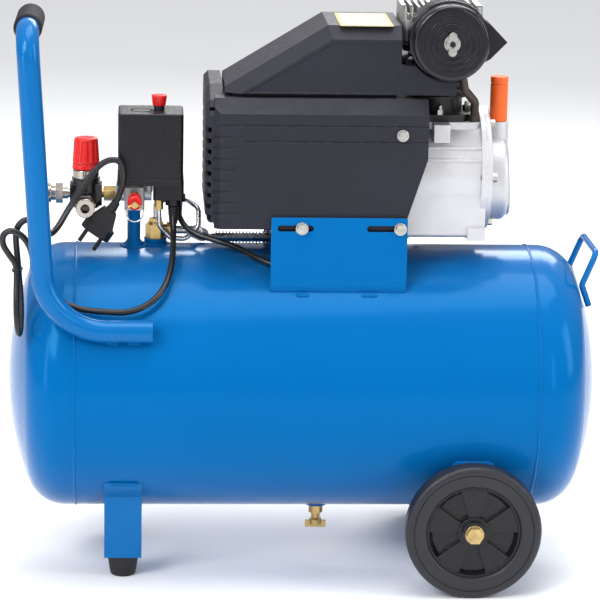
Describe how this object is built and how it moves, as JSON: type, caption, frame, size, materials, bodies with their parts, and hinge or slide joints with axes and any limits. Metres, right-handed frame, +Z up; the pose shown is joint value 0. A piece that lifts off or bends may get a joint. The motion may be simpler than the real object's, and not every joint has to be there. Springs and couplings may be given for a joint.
{
  "type": "portable air compressor",
  "caption": "Portable piston air compressor: horizontal blue air tank with wheels, handle, covered motor pump, pressure switch, regulator and couplers.",
  "frame": {"origin": "middle of the bounding box's base, on the floor under the tank", "axes": "+X along the tank towards the tow handle and wheels end, +Y away from the controls side, +Z up"},
  "size_m": [0.6724, 0.3566, 0.6565],
  "materials": {
    "blue_paint": "gloss stoved enamel",
    "black_paint": "satin",
    "charcoal_plastic": "fine texture",
    "black_gloss": "gloss",
    "red_plastic": "gloss",
    "orange_plastic": "gloss",
    "clear_plastic": "clear",
    "cast_aluminium": "as cast",
    "aluminium": "drawn tube",
    "steel": "machined",
    "zinc": "zinc plated",
    "chrome": "bright",
    "brass": "machined",
    "rubber": "matte",
    "tyre": "matte",
    "foam": "soft grip",
    "filter_foam": "open cell"
  },
  "bodies": {
    "frame": {"air_duct": "charcoal_plastic", "brass_fittings": "brass", "breather_elbow": "black_gloss", "cord_hank": "charcoal_plastic", "cord_tail": "rubber", "coupler_bodies": "chrome", "crankcase": "cast_aluminium", "crankcase_cover": "cast_aluminium", "cylinder_barrel": "black_paint", "cylinder_head": "cast_aluminium", "discharge_tube": "aluminium", "drain_valve": "brass", "filter_cap": "black_gloss", "filter_element": "filter_foam", "filter_housing": "black_gloss", "foot_pads": "rubber", "front_foot_strap": "blue_paint", "handle_arm": "blue_paint", "handle_grip": "foam", "hex_fasteners": "zinc", "mains_plug": "rubber", "manifold": "cast_aluminium", "motor_housing": "cast_aluminium", "motor_lead": "rubber", "motor_stator": "steel", "oil_filler_plug": "orange_plastic", "oil_sight_glass": "clear_plastic", "power_cord": "rubber", "pump_base_tray": "black_paint", "pump_brackets": "blue_paint", "pump_shroud": "charcoal_plastic", "regulator_body": "black_gloss", "safety_valve": "brass", "shaft_bearings": "steel", "switch_base": "black_gloss", "switch_cover": "black_gloss", "switch_mechanism": "black_gloss", "tank_heads": "blue_paint", "tank_ports": "blue_paint", "tank_shell": "blue_paint", "tow_handle": "blue_paint", "unloader_tube": "aluminium", "wheel_bolts": "zinc", "wheel_brackets": "blue_paint"},
    "wheel_near": {"tyre_near": "tyre", "rim_near": "charcoal_plastic"},
    "wheel_far": {"tyre_far": "tyre", "rim_far": "charcoal_plastic"},
    "crankshaft": {"motor_rotor_and_shaft": "steel", "crank": "steel", "cooling_fan": "charcoal_plastic"},
    "piston": {"piston": "cast_aluminium"},
    "rod": {"connecting_rod": "aluminium"},
    "switch_button": {"on_off_button": "red_plastic"},
    "safety_pin": {"safety_pull_pin": "brass"},
    "regulator_knob": {"regulator_knob": "red_plastic"},
    "sleeve_left": {"coupler_sleeve_left": "chrome"},
    "sleeve_front": {"coupler_sleeve_front": "chrome"},
    "drain_screw": {"drain_screw": "brass"},
    "wing_nut": {"filter_wing_nut": "zinc"}
  },
  "joints": [
    {"name": "wheel_near_spin", "type": "hinge", "parent": "frame", "child": "wheel_near", "pos_m": [0.186, -0.155, 0.076], "axis": [0, 1, 0], "continuous": true},
    {"name": "wheel_far_spin", "type": "hinge", "parent": "frame", "child": "wheel_far", "pos_m": [0.186, 0.155, 0.076], "axis": [0, 1, 0], "continuous": true},
    {"name": "crankshaft_spin", "type": "hinge", "parent": "frame", "child": "crankshaft", "pos_m": [0.118, 0, 0.458], "axis": [1, 0, 0], "continuous": true},
    {"name": "piston_stroke", "type": "slide", "parent": "frame", "child": "piston", "axis": [0, 0, 1], "range_m": [-0.038, 0]},
    {"name": "rod_swing", "type": "hinge", "parent": "piston", "child": "rod", "pos_m": [0.148, 0, 0.582], "axis": [1, 0, 0], "range_deg": [-10.4, 10.4]},
    {"name": "button_press", "type": "slide", "parent": "frame", "child": "switch_button", "axis": [0, 0, 1], "range_m": [-0.005, 0], "stiffness_N_per_m": 800},
    {"name": "safety_pin_pull", "type": "slide", "parent": "frame", "child": "safety_pin", "axis": [0, -1, 0], "range_m": [0, 0.003], "stiffness_N_per_m": 900},
    {"name": "regulator_turn", "type": "hinge", "parent": "frame", "child": "regulator_knob", "pos_m": [-0.2465, 0, 0.47], "axis": [0, 0, 1], "range_deg": [-540, 540]},
    {"name": "left_sleeve_slide", "type": "slide", "parent": "frame", "child": "sleeve_left", "axis": [1, 0, 0], "range_m": [0, 0.004], "stiffness_N_per_m": 900},
    {"name": "front_sleeve_slide", "type": "slide", "parent": "frame", "child": "sleeve_front", "axis": [0, 1, 0], "range_m": [0, 0.004], "stiffness_N_per_m": 900},
    {"name": "drain_turn", "type": "hinge", "parent": "frame", "child": "drain_screw", "pos_m": [0.02, 0, 0.042], "axis": [0, 0, 1], "range_deg": [0, 720]},
    {"name": "wing_nut_turn", "type": "hinge", "parent": "frame", "child": "wing_nut", "pos_m": [0.153, -0.102, 0.612], "axis": [0, 1, 0], "range_deg": [-180, 180]}
  ]
}
